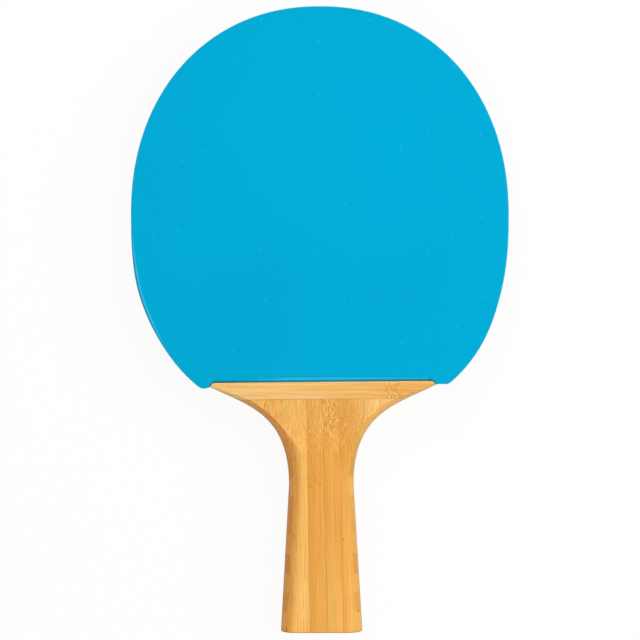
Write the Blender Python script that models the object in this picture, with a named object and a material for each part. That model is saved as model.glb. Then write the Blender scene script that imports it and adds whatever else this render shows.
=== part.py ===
"""Table tennis racket: a bamboo blade, a flared handle laminated from strips, and two rubber coverings.

The racket lies on the back of its handle. +Y runs from the handle to the head, +Z is the normal of
the front playing face, and the origin is at the foot of the middle. All lengths are in metres.

The handle is one lofted form, worked as a maker works it: plies, strips across the grain and strips
along the grain are glued up into a block. The flare and its rounded sides are cut through all of them,
and then the ramp that runs down to the head, which leaves an arris where it meets the sides. Here each
strip is a box cut to that form.
"""

import math

import bmesh
import bpy
import numpy as np
from mathutils import Matrix

# Lengths along the racket
HANDLE_LENGTH = 0.0934
BAND_HEIGHT = 0.0069
HEAD_LENGTH = 0.1497

# Head
HEAD_WIDTH = 0.1500
HEAD_TOP_REACH = 0.0828
HEAD_TOP_FULLNESS = 2.135
HEAD_FOOT_FULLNESS = 2.372
HEAD_RUN_ON = 0.0160
SHOULDER_RISE = 0.0088

# Handle
NECK_DROP = 0.0344
NECK_WIDTH = 0.0260
BUTT_WIDTH = 0.0328
SHOULDER_PULL = 0.0238
NECK_PULL = 0.0389
SIDE_REACH = 0.0067
RAMP_LENGTH = 0.0220
RAMP_HOLLOW = 1.4
RAMP_LIP = 0.00025
BUTT_ROUND_WIDTH = 0.0008
BUTT_ROUND_THICKNESS = 0.0006
BUTT_ROUND_LENGTH = 0.0009
BAND_EASE = 0.0004
BAND_CORNER = 0.0020

# Layers, from the middle outwards
BLADE_THICKNESS = 0.0072
SPONGE_THICKNESS = 0.0020
TOPSHEET_THICKNESS = 0.0016
FACE_LAYER_THICKNESS = 0.0028
GLUE_LINE = 0.0001

# Strips of the handle: the inner glue lines lie in the face of the grip, the others outside it
CROSS_STRIP_WIDTH = 0.00775
FACE_STRIP_WIDTH = 0.0064
FACE_STRIP_OFFSET = 0.00053
FACE_STRIP_TURN = math.radians(1.1)
INNER_GLUE_LINES = 3
WING_STRIPS = 2
WING_STRIP_CLEARANCE = 0.0005

# Rubber coverings, each glued on and trimmed by hand, so its outline is a little off the blade's
SHEET_OVERHANG = 0.0006
SHEET_SHIFT = -0.0003
SHEET_FOOT_DRIFT = {"front": 0.00145, "back": 0.0}
SHEET_CLEARANCE = 0.0003
SHEET_ROUND = 0.0004
RIM_ANGLE = math.radians(60)
EAR_WIDTH = 0.0068
EAR_SHIFT = 0.0007
LEFT_EAR_DROP = {"front": 0.0030, "back": 0.0010}
RIGHT_EAR_DROP = {"front": 0.0014, "back": 0.0010}

# Fineness of the curves
HEAD_STEPS = 56
WING_POINTS = 200
WING_STEPS = 26
SIDE_STEPS = 9
BUTT_STEPS = 5
CORNER_STEPS = 5
RIM_STEPS = 2
CLOSEST_STEP = 0.0004

# How far a form used for cutting reaches beyond the wood, and how deep a joined form sits in the next
CUT_MARGIN = 0.004
FORM_TUCK = 0.001

# Colours, as linear red, green and blue
BAMBOO_LIGHT = (0.84, 0.47, 0.14)
BAMBOO_DARK = (0.72, 0.36, 0.10)
BAMBOO_PLY = (0.66, 0.36, 0.13)
RUBBER_BLUE = (0.002, 0.40, 0.69)
RUBBER_BLACK = (0.012, 0.012, 0.013)
SPONGE_BLUE = (0.06, 0.22, 0.42)

# Places along the racket, with y = 0 half way between the butt and the top of the rubber
RACKET_LENGTH = HANDLE_LENGTH + BAND_HEIGHT + HEAD_LENGTH + SHEET_OVERHANG
BUTT_Y = -RACKET_LENGTH / 2
SEAM_Y = BUTT_Y + HANDLE_LENGTH
NECK_Y = SEAM_Y - NECK_DROP
BAND_TOP_Y = SEAM_Y + BAND_HEIGHT
HEAD_TOP_Y = BAND_TOP_Y + HEAD_LENGTH
WIDEST_Y = HEAD_TOP_Y - HEAD_TOP_REACH
SHOULDER_Y = BAND_TOP_Y + SHOULDER_RISE
HEAD_FOOT_REACH = WIDEST_Y - BAND_TOP_Y + HEAD_RUN_ON
SHEET_FOOT_Y = BAND_TOP_Y + SHEET_CLEARANCE

# Places through the thickness, from the middle of the blade
BLADE_FACE = BLADE_THICKNESS / 2
SPONGE_FOOT = BLADE_FACE + GLUE_LINE
TOPSHEET_FOOT = SPONGE_FOOT + SPONGE_THICKNESS + GLUE_LINE
PLAYING_FACE = TOPSHEET_FOOT + TOPSHEET_THICKNESS
CROSS_FOOT = BLADE_FACE + GLUE_LINE
BAND_FACE = PLAYING_FACE
FACE_LAYER_FOOT = BAND_FACE + GLUE_LINE
HANDLE_FACE = FACE_LAYER_FOOT + FACE_LAYER_THICKNESS


def head_half_width(y, grown=0.0):
    """Half the head's width at y: an upper and a lower superellipse that meet at the widest line."""
    above = y >= WIDEST_Y
    reach = (HEAD_TOP_REACH if above else HEAD_FOOT_REACH) + grown
    fullness = HEAD_TOP_FULLNESS if above else HEAD_FOOT_FULLNESS
    share = min(abs(y - WIDEST_Y) / reach, 1.0)
    return (HEAD_WIDTH / 2 + grown) * (1 - share**fullness) ** (1 / fullness)


def head_arc(lowest_y, grown=0.0):
    """Points of the head's outline from lowest_y on the right, over the top, to lowest_y on the left."""
    half = HEAD_WIDTH / 2 + grown
    foot_reach = HEAD_FOOT_REACH + grown
    sine = ((WIDEST_Y - lowest_y) / foot_reach) ** (HEAD_FOOT_FULLNESS / 2)
    start = -math.asin(sine)
    points = []
    for angle in np.linspace(start, math.pi / 2, HEAD_STEPS):
        above = angle >= 0
        reach = HEAD_TOP_REACH + grown if above else foot_reach
        fullness = HEAD_TOP_FULLNESS if above else HEAD_FOOT_FULLNESS
        x = half * max(math.cos(angle), 0.0) ** (2 / fullness)
        y = WIDEST_Y + math.copysign(reach * abs(math.sin(angle)) ** (2 / fullness), angle)
        points.append((x, y))
    points[-1] = (0.0, WIDEST_Y + HEAD_TOP_REACH + grown)
    return points + [(-x, y) for x, y in reversed(points[:-1])]


def wing_curve():
    """The cubic curve of the flare, from the neck up to the shoulder, as rows of (half width, y)."""
    shoulder = np.array([head_half_width(SHOULDER_Y), SHOULDER_Y])
    above = SHOULDER_Y + CLOSEST_STEP
    along_head = shoulder - np.array([head_half_width(above), above])
    neck = np.array([NECK_WIDTH / 2, NECK_Y])
    shoulder_handle = shoulder + SHOULDER_PULL * along_head / np.linalg.norm(along_head)
    neck_handle = neck + np.array([0.0, NECK_PULL])
    t = np.linspace(0.0, 1.0, WING_POINTS)[:, None]
    return (
        (1 - t) ** 3 * neck
        + 3 * (1 - t) ** 2 * t * neck_handle
        + 3 * (1 - t) * t**2 * shoulder_handle
        + t**3 * shoulder
    )


WING = wing_curve()
WING_SLOPE = np.gradient(WING[:, 0], WING[:, 1])


def half_width(y):
    """Half the wood's width at y: the rounded butt, the straight taper, then the curve of the flare."""
    if y >= NECK_Y:
        return float(np.interp(y, WING[:, 1], WING[:, 0]))
    taper = (NECK_Y - y) / (NECK_Y - BUTT_Y)
    return NECK_WIDTH / 2 + taper * (BUTT_WIDTH - NECK_WIDTH) / 2 - BUTT_ROUND_WIDTH * butt_fall(y)


def butt_fall(y):
    """How far the rounded end has fallen away at y: a quarter circle, from 0 to 1 at the butt."""
    depth = max(0.0, 1 - (y - BUTT_Y) / BUTT_ROUND_LENGTH)
    return 1 - math.sqrt(1 - min(depth, 1.0) ** 2)


def half_thickness(y):
    """Half the wood's thickness at y: full along the grip, a smooth ramp to the seam, then the band."""
    if y > BAND_TOP_Y - BAND_EASE:
        return BAND_FACE - min(y - BAND_TOP_Y + BAND_EASE, BAND_EASE)
    if y > SEAM_Y:
        return BAND_FACE
    ramp_end = FACE_LAYER_FOOT + RAMP_LIP
    share = min((SEAM_Y - y) / RAMP_LENGTH, 1.0) ** RAMP_HOLLOW
    ease = share * share * (3 - 2 * share)
    return ramp_end + ease * (HANDLE_FACE - ramp_end) - BUTT_ROUND_THICKNESS * butt_fall(y)


def side_reach(y):
    """How far in from the outline the side's ellipse reaches at y, measured across the racket.

    It is the same all along the outline, measured square to it, and fades out along the band.
    """
    slope = np.interp(y, WING[:, 1], WING_SLOPE) if y > NECK_Y else 0.0
    fade = (y - SEAM_Y) / BAND_HEIGHT
    return SIDE_REACH * math.hypot(1.0, slope) * (1 - min(max(fade, 0.0), 1.0))


def side_inset(y, z):
    """How far the rounded side lies inside the outline at height z: part of an ellipse."""
    height = min(abs(z) / HANDLE_FACE, 1.0)
    return side_reach(y) * (1 - math.sqrt(1 - height**2))


def material(name, colour, roughness):
    made = bpy.data.materials.new(name)
    made.use_nodes = True
    shader = made.node_tree.nodes["Principled BSDF"]
    shader.inputs["Base Color"].default_value = (*colour, 1.0)
    shader.inputs["Roughness"].default_value = roughness
    shader.inputs["Metallic"].default_value = 0.0
    made.diffuse_color = (*colour, 1.0)
    return made


def make_cutter(obj):
    obj.hide_render = True
    obj.display_type = "WIRE"


def object_from(bm, name, collection, parent):
    """A new object that holds bm's mesh, with its faces pointing out."""
    bmesh.ops.recalc_face_normals(bm, faces=bm.faces)
    mesh = bpy.data.meshes.new(name)
    bm.to_mesh(mesh)
    bm.free()
    obj = bpy.data.objects.new(name, mesh)
    obj.parent = parent
    collection.objects.link(obj)
    return obj


def box(name, low, high, collection, parent):
    """A box between two corners, with its origin at its centre."""
    low, high = np.array(low), np.array(high)
    bm = bmesh.new()
    bmesh.ops.create_cube(bm, size=1.0, matrix=Matrix.Diagonal((*(high - low), 1.0)))
    obj = object_from(bm, name, collection, parent)
    obj.location = (low + high) / 2
    return obj


def plate(name, outline, thickness, collection, parent):
    """A flat plate with this outline, made from a filled 2D curve and centred on its own origin."""
    curve = bpy.data.curves.new(name, "CURVE")
    curve.dimensions = "2D"
    curve.fill_mode = "BOTH"
    curve.extrude = thickness / 2
    spline = curve.splines.new("POLY")
    spline.points.add(len(outline) - 1)
    for point, (x, y) in zip(spline.points, outline):
        point.co = (x, y, 0.0, 1.0)
    spline.use_cyclic_u = True
    drawn = bpy.data.objects.new(name + "_outline", curve)
    collection.objects.link(drawn)
    graph = bpy.context.evaluated_depsgraph_get()
    mesh = bpy.data.meshes.new_from_object(drawn.evaluated_get(graph))
    bpy.data.objects.remove(drawn)
    bm = bmesh.new()
    bm.from_mesh(mesh)
    bmesh.ops.remove_doubles(bm, verts=bm.verts, dist=0.00001)
    bpy.data.meshes.remove(mesh)
    made = object_from(bm, name, collection, parent)
    smooth(made)
    return made


def boolean(obj, operation, other):
    modifier = obj.modifiers.new(operation.lower(), "BOOLEAN")
    modifier.operation = operation
    modifier.object = other
    modifier.solver = "EXACT"


def smooth(obj, degrees=30):
    obj.data.shade_smooth()
    obj.data.set_sharp_from_angle(angle=math.radians(degrees))


def section(y):
    """The wood's section at y, as a closed ring: elliptical sides, cut off flat at the faces."""
    half, reach = half_width(y), side_reach(y)
    highest = math.asin(half_thickness(y) / HANDLE_FACE)
    angles = np.linspace(0.0, highest, SIDE_STEPS + 1)
    side = [(half - reach + reach * math.cos(a), HANDLE_FACE * math.sin(a)) for a in angles]
    upper = side + [(-x, z) for x, z in reversed(side)]
    lower = [(x, -z) for x, z in reversed(upper[1:-1])]
    return [(x, y, z) for x, z in upper + lower]


def stations():
    """Where the loft has sections: close together on the rounded butt and on the flare."""
    turns = np.linspace(0.0, math.pi / 2, BUTT_STEPS)
    butt = [BUTT_Y + BUTT_ROUND_LENGTH * (1 - math.cos(a)) for a in turns]
    steps = [SEAM_Y - GLUE_LINE / 4, SEAM_Y + GLUE_LINE / 4, BAND_TOP_Y - BAND_EASE, BAND_TOP_Y]
    flare = np.linspace(NECK_Y, SHOULDER_Y, WING_STEPS)
    clear = [y for y in flare if min(abs(y - step) for step in steps) > CLOSEST_STEP]
    return sorted(butt + steps + clear)


def handle_form(collection, parent):
    """The outside of the handle and shoulders, lofted through the sections."""
    bm = bmesh.new()
    rings = [[bm.verts.new(point) for point in section(y)] for y in stations()]
    for lower, upper in zip(rings, rings[1:]):
        for i in range(len(lower)):
            j = (i + 1) % len(lower)
            bm.faces.new((lower[i], lower[j], upper[j], upper[i]))
    bm.faces.new(rings[0])
    bm.faces.new(rings[-1])
    form = object_from(bm, "handle_form", collection, parent)
    smooth(form)
    make_cutter(form)
    return form


def blade_form(handle, collection, parent):
    """The whole blade's outside: the head's plate joined to the handle form at the shoulders."""
    foot_x = head_half_width(SHOULDER_Y) - FORM_TUCK
    foot_y = SHOULDER_Y - FORM_TUCK
    outline = head_arc(SHOULDER_Y) + [(-foot_x, foot_y), (foot_x, foot_y)]
    form = plate("blade_form", outline, BLADE_THICKNESS + CUT_MARGIN / 2, collection, parent)
    boolean(form, "UNION", handle)
    make_cutter(form)
    return form


def band_form(face, collection, parent):
    """The plan of the top strip: straight along the rubber's edge, with rounded ends."""
    reach, centre = ear_inner_x() - SHEET_CLEARANCE, top_corner_centre()
    corner = [
        (centre + BAND_CORNER * math.cos(a), BAND_TOP_Y - BAND_CORNER + BAND_CORNER * math.sin(a))
        for a in np.linspace(0, math.pi / 2, CORNER_STEPS + 1)
    ]
    right = [(reach, SEAM_Y - CUT_MARGIN)] + corner
    outline = [(x + EAR_SHIFT, y) for x, y in right + [(-x, y) for x, y in reversed(right)]]
    form = plate(f"{face}_band_form", outline, 2 * (BAND_FACE + CUT_MARGIN), collection, parent)
    make_cutter(form)
    return form


def face_layer_form(face, handle, collection, parent):
    """The layer that lies over the cross strips, from the butt up to the seam, before it is divided."""
    low = (-HEAD_WIDTH / 2, BUTT_Y - CUT_MARGIN, FACE_LAYER_FOOT)
    high = (HEAD_WIDTH / 2, SEAM_Y - GLUE_LINE / 2, HANDLE_FACE + CUT_MARGIN)
    form = box(f"{face}_layer_form", low, high, collection, parent)
    boolean(form, "INTERSECT", handle)
    make_cutter(form)
    return form


def ear_inner_x():
    """Half the width of the notch that each sheet has for the band, at its widest."""
    return head_half_width(SHEET_FOOT_Y, SHEET_OVERHANG) - EAR_WIDTH


def top_corner_centre():
    """The x of the centre that the band's round corner and the sheet's notch share."""
    return ear_inner_x() - SHEET_CLEARANCE - BAND_CORNER


def sheet_outline(face):
    """A sheet's outline: the head's arc, two ears, and the notch between them for the band."""
    left_drop, right_drop = LEFT_EAR_DROP[face], RIGHT_EAR_DROP[face]
    left_foot, right_foot = SHEET_FOOT_Y - left_drop, SHEET_FOOT_Y - right_drop
    arc = head_arc(min(left_foot, right_foot), SHEET_OVERHANG)
    lowest_y = {1: right_foot + CLOSEST_STEP, -1: left_foot + CLOSEST_STEP}
    outline = [(x, y) for x, y in arc if y > lowest_y[1 if x > 0 else -1]]
    outline.insert(0, (head_half_width(right_foot, SHEET_OVERHANG), right_foot))
    outline.append((-head_half_width(left_foot, SHEET_OVERHANG), left_foot))
    drifted = [(x + sheet_drift(y, face), y) for x, y in outline]
    return drifted + notch_side(left_drop, -1) + notch_side(right_drop, 1)[::-1]


def sheet_drift(y, face):
    """How far the sheet has crept sideways at y, more and more from the widest line to its foot."""
    depth = max(0.0, (WIDEST_Y - y) / (WIDEST_Y - SHEET_FOOT_Y))
    return SHEET_FOOT_DRIFT[face] * depth**3


def notch_side(drop, hand):
    """One end of the notch, from the ear's foot up its round corner to the straight edge."""
    radius = BAND_CORNER + SHEET_CLEARANCE
    centre = top_corner_centre()
    start = math.asin(max(0.0, 1 - drop / radius))
    points = [(centre + radius, SHEET_FOOT_Y - drop)] if drop > radius else []
    for angle in np.linspace(start, math.pi / 2, CORNER_STEPS + 1):
        y = SHEET_FOOT_Y - radius + radius * math.sin(angle)
        points.append((centre + radius * math.cos(angle), y))
    return [(hand * x + EAR_SHIFT - SHEET_SHIFT, y) for x, y in points]


def make_blade(form, collection, parent):
    """Bamboo plies glued into one board, which runs from the head right through the handle."""
    names = ("blade_back_ply", "blade_core_ply", "blade_front_ply")
    bamboo = material("bamboo_ply", BAMBOO_PLY, 0.55)
    ply = (BLADE_THICKNESS - (len(names) - 1) * GLUE_LINE) / len(names)
    reach = HEAD_WIDTH / 2 + CUT_MARGIN
    for i, name in enumerate(names):
        foot = -BLADE_FACE + i * (ply + GLUE_LINE)
        low = (-reach, BUTT_Y - CUT_MARGIN, foot)
        high = (reach, HEAD_TOP_Y + CUT_MARGIN, foot + ply)
        piece = box(name, low, high, collection, parent)
        boolean(piece, "INTERSECT", form)
        piece.data.materials.append(bamboo)


def make_cross_strips(face, handle, band, tones, collection, parent):
    """Strips with their grain across the handle, edge to edge from the head down to the butt."""
    count = max(1, round(HANDLE_LENGTH / CROSS_STRIP_WIDTH))
    lines = [SEAM_Y - i * CROSS_STRIP_WIDTH for i in range(count)]
    tops = [BAND_TOP_Y] + [line - GLUE_LINE / 2 for line in lines]
    feet = [line + GLUE_LINE / 2 for line in lines] + [BUTT_Y - CUT_MARGIN]
    reach = HEAD_WIDTH / 2
    for i, (top, foot) in enumerate(zip(tops, feet)):
        is_band = i == 0
        proud = CUT_MARGIN / 2 if is_band else 0.0
        low, high = (-reach, foot, CROSS_FOOT), (reach, top + proud, BAND_FACE + proud)
        piece = box(f"{face}_cross_strip_{i + 1:02d}", low, high, collection, parent)
        boolean(piece, "INTERSECT", handle)
        if is_band:
            boolean(piece, "INTERSECT", band)
        piece.data.materials.append(tones[i % len(tones)])


def face_strip_lines():
    """The x of each glue line of the face layer at the seam, with the outer ends beyond the wood.

    The lines next to the inner ones lie just outside the grip, so the waist cuts no strip in two.
    """
    middle = (INNER_GLUE_LINES - 1) / 2
    inner = [FACE_STRIP_OFFSET + (i - middle) * FACE_STRIP_WIDTH for i in range(INNER_GLUE_LINES)]
    grip = BUTT_WIDTH / 2 - side_inset(BUTT_Y, FACE_LAYER_FOOT)
    lean = HANDLE_LENGTH * math.tan(FACE_STRIP_TURN)
    wing_foot = grip + lean + WING_STRIP_CLEARANCE
    wing_tip = half_width(SEAM_Y) - side_inset(SEAM_Y, FACE_LAYER_FOOT)
    wing = list(np.linspace(wing_foot, wing_tip, WING_STRIPS + 1)[:-1]) + [wing_tip + CUT_MARGIN]
    return [-x for x in reversed(wing)] + inner + wing


def make_face_strips(face, layer, tones, collection, lean):
    """Strips with their grain along the handle, which lean a little and are cut off at the seam."""
    lines = face_strip_lines()
    low_y, high_y = -HANDLE_LENGTH - CUT_MARGIN, CUT_MARGIN
    foot, top = FACE_LAYER_FOOT - CUT_MARGIN, HANDLE_FACE + 2 * CUT_MARGIN
    for i, (left, right) in enumerate(zip(lines, lines[1:])):
        low = (left + GLUE_LINE / 2, low_y, foot)
        high = (right - GLUE_LINE / 2, high_y, top)
        piece = box(f"{face}_face_strip_{i + 1}", low, high, collection, lean)
        boolean(piece, "INTERSECT", layer)
        piece.data.materials.append(tones[i % len(tones)])


def make_covering(face, sheet_material, sponge_material, collection, parent):
    """One side's rubber: a sponge on the blade and a smooth topsheet on the sponge."""
    layers = (
        ("sponge", SPONGE_FOOT, SPONGE_THICKNESS, sponge_material),
        ("topsheet", TOPSHEET_FOOT, TOPSHEET_THICKNESS, sheet_material),
    )
    for kind, foot, thickness, finish in layers:
        piece = plate(f"{face}_{kind}", sheet_outline(face), thickness, collection, parent)
        piece.location = (SHEET_SHIFT, 0.0, foot + thickness / 2)
        piece.data.materials.append(finish)
        if kind == "topsheet":
            round_rim(piece)


def round_rim(piece):
    """Rounds the rim of the playing face, where the sheet was trimmed to the blade."""
    bm = bmesh.new()
    bm.from_mesh(piece.data)
    rim = [
        edge
        for edge in bm.edges
        if all(vertex.co.z > 0 for vertex in edge.verts) and edge.calc_face_angle() > RIM_ANGLE
    ]
    bmesh.ops.bevel(bm, geom=rim, offset=SHEET_ROUND, segments=RIM_STEPS, profile=0.5, affect="EDGES")
    bm.to_mesh(piece.data)
    bm.free()
    smooth(piece)


def clear_scene():
    for obj in list(bpy.data.objects):
        bpy.data.objects.remove(obj, do_unlink=True)


def empty(name, collection, parent):
    obj = bpy.data.objects.new(name, None)
    obj.parent = parent
    collection.objects.link(obj)
    return obj


def new_collection(name):
    made = bpy.data.collections.new(name)
    bpy.context.scene.collection.children.link(made)
    return made


def main():
    clear_scene()
    pieces = new_collection("table_tennis_racket")
    cutters = new_collection("cutters")
    middle = empty("blade_middle", pieces, None)
    middle.location.z = HANDLE_FACE

    handle = handle_form(cutters, middle)
    make_blade(blade_form(handle, cutters, middle), pieces, middle)
    tones = [material("bamboo_light", BAMBOO_LIGHT, 0.5), material("bamboo_dark", BAMBOO_DARK, 0.5)]
    sponge = material("sponge", SPONGE_BLUE, 0.9)
    sheets = {
        "front": material("rubber_blue", RUBBER_BLUE, 0.42),
        "back": material("rubber_black", RUBBER_BLACK, 0.42),
    }
    for face, sheet in sheets.items():
        side = empty(f"{face}_side", pieces, middle)
        if face == "back":
            side.rotation_euler.y = math.pi
        band = band_form(face, cutters, side)
        layer = face_layer_form(face, handle, cutters, side)
        lean = empty(f"{face}_strip_lean", pieces, side)
        lean.location.y = SEAM_Y
        lean.rotation_euler.z = FACE_STRIP_TURN
        make_cross_strips(face, handle, band, tones, pieces, side)
        make_face_strips(face, layer, tones, pieces, lean)
        make_covering(face, sheet, sponge, pieces, side)


main()
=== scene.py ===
"""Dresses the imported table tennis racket, piece by piece, in the order in which it is put together.

+Y runs from the handle to the head, +Z is the normal of the front playing face, and all lengths
are in metres. Each piece is worked out in the blade's own height, with z = 0 in the middle of the
blade, and is then lifted to where it lies in the frame. Back pieces are front ones turned half
round about Y.
"""

import math

import bmesh
import bpy
import numpy as np
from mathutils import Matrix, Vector


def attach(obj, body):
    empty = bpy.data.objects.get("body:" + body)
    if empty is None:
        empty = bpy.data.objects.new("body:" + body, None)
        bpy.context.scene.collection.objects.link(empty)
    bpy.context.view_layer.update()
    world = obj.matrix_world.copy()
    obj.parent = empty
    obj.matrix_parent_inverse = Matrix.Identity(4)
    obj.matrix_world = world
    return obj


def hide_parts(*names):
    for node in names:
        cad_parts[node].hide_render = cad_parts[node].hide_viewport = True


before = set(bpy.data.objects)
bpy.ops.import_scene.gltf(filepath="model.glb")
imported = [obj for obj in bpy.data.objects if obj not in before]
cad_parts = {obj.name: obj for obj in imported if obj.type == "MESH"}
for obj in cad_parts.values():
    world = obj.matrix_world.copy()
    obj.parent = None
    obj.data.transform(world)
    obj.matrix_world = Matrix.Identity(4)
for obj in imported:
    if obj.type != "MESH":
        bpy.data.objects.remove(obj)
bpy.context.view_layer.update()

# The blade: one flat board, glued up from three bamboo plies and sawn to the head's
# outline. It runs right through the handle, where its edges show on the rounded sides.

MIDDLE_Z = 0.0103
BUTT_Y = -0.1253
NECK_Y = -0.0663
SEAM_Y = -0.0319
BAND_TOP_Y = -0.0250
SHOULDER_Y = -0.0162
WIDEST_Y = 0.0419

HEAD_WIDTH = 0.1500
HEAD_TOP_REACH = 0.0828
HEAD_TOP_FULLNESS = 2.135
HEAD_FOOT_REACH = 0.0829
HEAD_FOOT_FULLNESS = 2.372
NECK_WIDTH = 0.0260
BUTT_WIDTH = 0.0328
SHOULDER_PULL = 0.0238
NECK_PULL = 0.0389
SIDE_REACH = 0.0067
SIDE_HEIGHT = MIDDLE_Z
BUTT_ROUND_WIDTH = 0.0005
BUTT_ROUND_LENGTH = 0.0007

BLADE_FACE = 0.0036
PLY_JOINTS = (-0.0012, 0.0012)
GLUE_GAP = 0.00003
PLY_GLUE_REACH = 0.00010
PLY_GLUE = 0.9
CORE_TONE = -0.10
OUTER_TONE = 0.05
WOOD_SPAN = 3.0
EDGE_EASE = 0.00005

GRIP_STEP = 0.0012
FLARE_STEP = 0.0005
TANGENT_STEP = 0.0004
CURVE_POINTS = 400
BUTT_POINTS = 9
HEAD_FOOT_POINTS = 50
HEAD_TOP_POINTS = 90
SAME_POINT = 0.000002
SHORTEST_EDGE = 0.000001
SHARP_ANGLE = math.radians(35.0)


def head_half_width(y, grown=0.0):
    """Half the head's width: two superellipses, (1 - share^n)^(1/n), met where it is widest."""
    above = y >= WIDEST_Y
    reach = np.where(above, HEAD_TOP_REACH, HEAD_FOOT_REACH) + grown
    fullness = np.where(above, HEAD_TOP_FULLNESS, HEAD_FOOT_FULLNESS)
    share = np.clip(np.abs(y - WIDEST_Y) / reach, 0.0, 1.0)
    return (HEAD_WIDTH / 2 + grown) * (1 - share**fullness) ** (1 / fullness)


def flare_curve():
    """The flare from neck to shoulder: a cubic curve, in line with the edge at both ends."""
    ends = np.array([SHOULDER_Y, SHOULDER_Y + TANGENT_STEP])
    shoulder, above = np.stack([head_half_width(ends), ends], -1)
    downwards = (shoulder - above) / np.linalg.norm(shoulder - above)
    neck = np.array([NECK_WIDTH / 2, NECK_Y])
    t = np.linspace(0.0, 1.0, CURVE_POINTS)[:, None]
    return (
        (1 - t) ** 3 * neck
        + 3 * (1 - t) ** 2 * t * (neck + (0.0, NECK_PULL))
        + 3 * (1 - t) * t**2 * (shoulder + SHOULDER_PULL * downwards)
        + t**3 * shoulder
    )


FLARE = flare_curve()
FLARE_SLOPE = np.gradient(FLARE[:, 0], FLARE[:, 1])


def butt_fall(y):
    """How far the rounded butt has fallen away: a quarter circle, from 0 to 1 at the very end."""
    depth = np.clip(1 - (y - BUTT_Y) / BUTT_ROUND_LENGTH, 0.0, 1.0)
    return 1 - np.sqrt(1 - depth**2)


def half_width(y):
    """Half the wood's width: the taper of the grip, then the curve of the flare, then the head."""
    share = (NECK_Y - y) / (NECK_Y - BUTT_Y)
    grip = (NECK_WIDTH + share * (BUTT_WIDTH - NECK_WIDTH)) / 2 - BUTT_ROUND_WIDTH * butt_fall(y)
    flare = np.interp(y, FLARE[:, 1], FLARE[:, 0])
    return np.where(y > SHOULDER_Y, head_half_width(y), np.where(y > NECK_Y, flare, grip))


def side_reach(y):
    """How far in the side's quarter ellipse reaches, measured across, fading out along the band."""
    slope = np.where(y > NECK_Y, np.interp(y, FLARE[:, 1], FLARE_SLOPE), 0.0)
    fade = np.clip((y - SEAM_Y) / (BAND_TOP_Y - SEAM_Y), 0.0, 1.0)
    return SIDE_REACH * np.hypot(1.0, slope) * (1 - fade)


def side_x(y, z):
    """The x of the rounded side at height z: the outline less reach (1 - sqrt(1 - height^2))."""
    height = np.clip(np.abs(z) / SIDE_HEIGHT, 0.0, 1.0)
    return half_width(y) - side_reach(y) * (1 - np.sqrt(1 - height**2))


def spaced(low, high, step):
    """Evenly spaced places from low to high, about this step apart."""
    return np.linspace(low, high, max(2, round((high - low) / step) + 1))


def butt_stations():
    """Places on the rounded butt, closer together towards the end, as the quarter circle needs."""
    turn = np.linspace(0.0, math.pi / 2, BUTT_POINTS)
    return BUTT_Y + BUTT_ROUND_LENGTH * (1 - np.cos(turn))


def head_stations():
    """Places from the shoulder to the top of the head, at equal turns round the head's two arcs."""
    foot = ((WIDEST_Y - SHOULDER_Y) / HEAD_FOOT_REACH) ** (HEAD_FOOT_FULLNESS / 2)
    lower = np.linspace(math.asin(foot), 0.0, HEAD_FOOT_POINTS)[:-1]
    upper = np.linspace(0.0, math.pi / 2, HEAD_TOP_POINTS)
    below = WIDEST_Y - HEAD_FOOT_REACH * np.sin(lower) ** (2 / HEAD_FOOT_FULLNESS)
    return np.append(below, WIDEST_Y + HEAD_TOP_REACH * np.sin(upper) ** (2 / HEAD_TOP_FULLNESS))


def placed(points, face):
    """Points lifted to their place in the frame, turned half round about Y for the back."""
    turn = -1.0 if face == "back" else 1.0
    return points * np.array([turn, 1.0, turn]) + np.array([0.0, 0.0, MIDDLE_Z])


def finished(name, points, faces, marks, finish, nodes):
    """Puts a piece in the scene for its nodes, with its marks as attributes of its points."""
    mesh = bpy.data.meshes.new(name)
    mesh.from_pydata(points.reshape(-1, 3), [], faces)
    for mark, values in marks.items():
        layer = mesh.attributes.new(mark, "FLOAT_VECTOR", "POINT")
        spread = np.broadcast_to(values, points.shape).astype(np.float32)
        layer.data.foreach_set("vector", spread.ravel())
    bm = bmesh.new()
    bm.from_mesh(mesh)
    bmesh.ops.remove_doubles(bm, verts=bm.verts, dist=SAME_POINT)
    bmesh.ops.dissolve_degenerate(bm, edges=bm.edges, dist=SHORTEST_EDGE)
    bm.to_mesh(mesh)
    bm.free()
    mesh.shade_smooth()
    mesh.set_sharp_from_angle(angle=SHARP_ANGLE)
    mesh.materials.append(finish)
    piece = bpy.data.objects.new(name, mesh)
    bpy.context.scene.collection.objects.link(piece)
    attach(piece, "root")
    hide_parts(*nodes)


def ring_faces(stations, around, clockwise=False):
    """Faces between each closed ring and the next, with the first and the last ring filled.

    The rings run anticlockwise as seen from the first one's end, or else clockwise.
    """
    here = np.arange(around)
    after = np.roll(here, -1)
    start = np.arange(stations - 1)[:, None] * around
    corners = [start + here, start + around + here, start + around + after, start + after]
    ends = [here, (stations - 1) * around + here[::-1]]
    if clockwise:
        corners = corners[:1] + corners[:0:-1]
        ends = [end[::-1] for end in ends]
    sides = np.stack(corners, -1).reshape(-1, 4).tolist()
    return sides + [end.tolist() for end in ends]


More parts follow.
